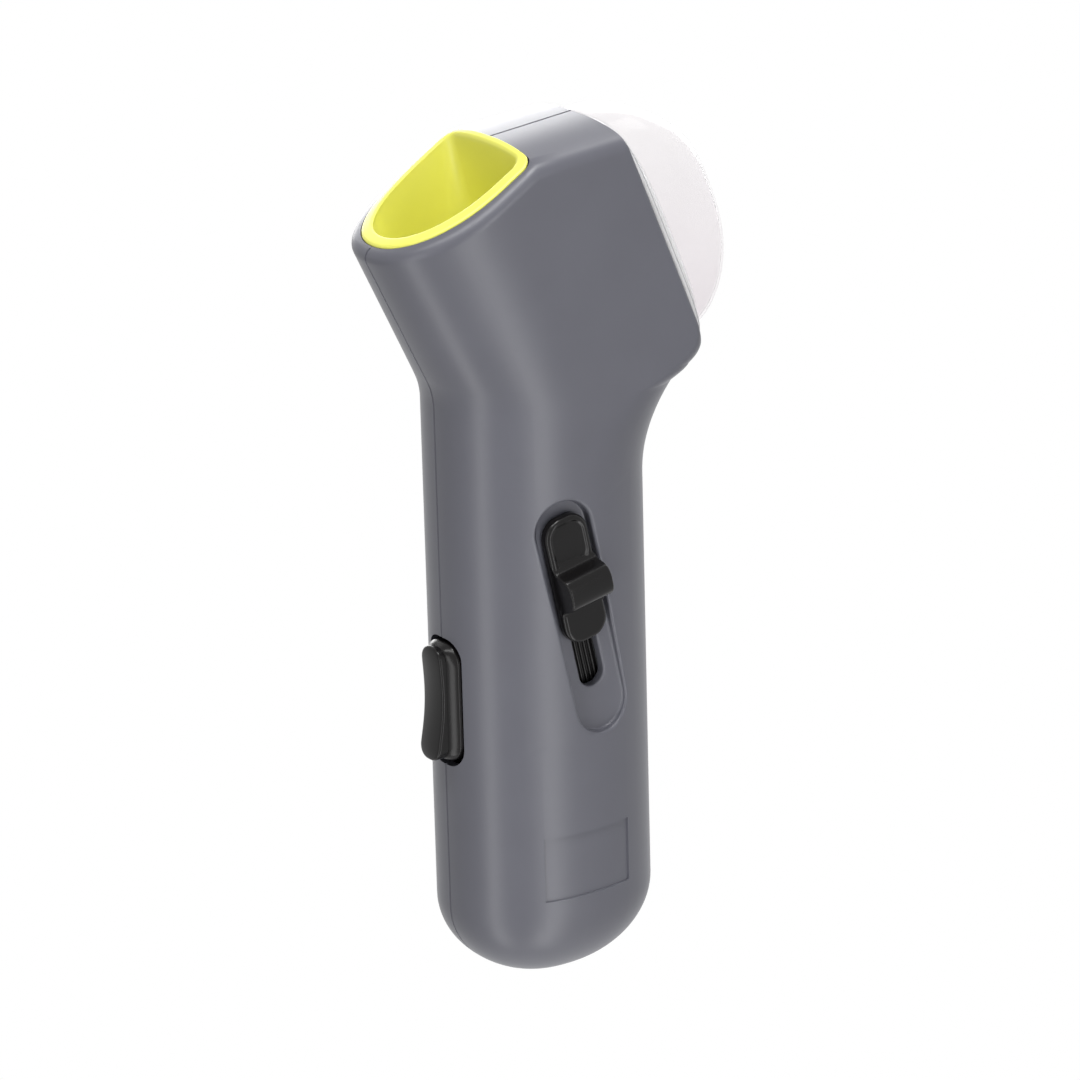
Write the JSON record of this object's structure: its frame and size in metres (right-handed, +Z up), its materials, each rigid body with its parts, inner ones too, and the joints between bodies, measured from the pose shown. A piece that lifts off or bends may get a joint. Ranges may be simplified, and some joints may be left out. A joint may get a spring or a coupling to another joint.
{
  "type": "treat launcher",
  "caption": "Hand-held spring treat launcher: straight grip with a side thumb slider and a front trigger, a slanted lined muzzle and a clear domed hopper.",
  "frame": {"origin": "lowest point of the handle's rounded butt end, on the handle's axis", "axes": "+Z up the handle to the head, -Y to the muzzle and trigger side, +X to the thumb slider's side"},
  "size_m": [0.045, 0.0911, 0.2],
  "materials": {
    "shell_grey": "satin moulded",
    "liner_lime": "satin moulded",
    "clear_dome": "clear polished",
    "black_plastic": "semi-gloss moulded",
    "black_rubber": "matte",
    "steel": "plain"
  },
  "bodies": {
    "housing": {"left_housing": "shell_grey", "right_housing": "shell_grey", "housing_screws": "steel", "muzzle_funnel": "liner_lime", "feed_tube": "liner_lime", "hopper_chute": "shell_grey", "spring_seat": "black_plastic", "bumper_pads": "black_rubber", "trigger_pin": "steel", "launch_spring": "steel", "trigger_spring": "steel"},
    "plunger": {"plunger_head": "black_plastic", "plunger_pad": "black_rubber", "plunger_rod": "steel", "carriage": "black_plastic", "slide_strip": "black_plastic", "thumb_slider": "black_plastic", "slider_screw": "steel"},
    "trigger": {"trigger": "black_plastic"},
    "dome": {"hopper_dome": "clear_dome"}
  },
  "joints": [
    {"name": "plunger_slide", "type": "slide", "parent": "housing", "child": "plunger", "axis": [0, -0.2079, 0.9781], "range_m": [-0.022, 0], "stiffness_N_per_m": 600, "springref_m": 0.012, "deforming": ["launch_spring"]},
    {"name": "trigger_pull", "type": "hinge", "parent": "housing", "child": "trigger", "pos_m": [0, -0.0185, 0.0807], "axis": [1, 0, 0], "range_deg": [0, 8], "stiffness_Nm_per_rad": 0.1, "springref_deg": -28.65, "deforming": ["trigger_spring"]},
    {"name": "dome_lift", "type": "slide", "parent": "housing", "child": "dome", "axis": [0, 0.9252, 0.3795], "range_m": [0, 0.04]}
  ]
}
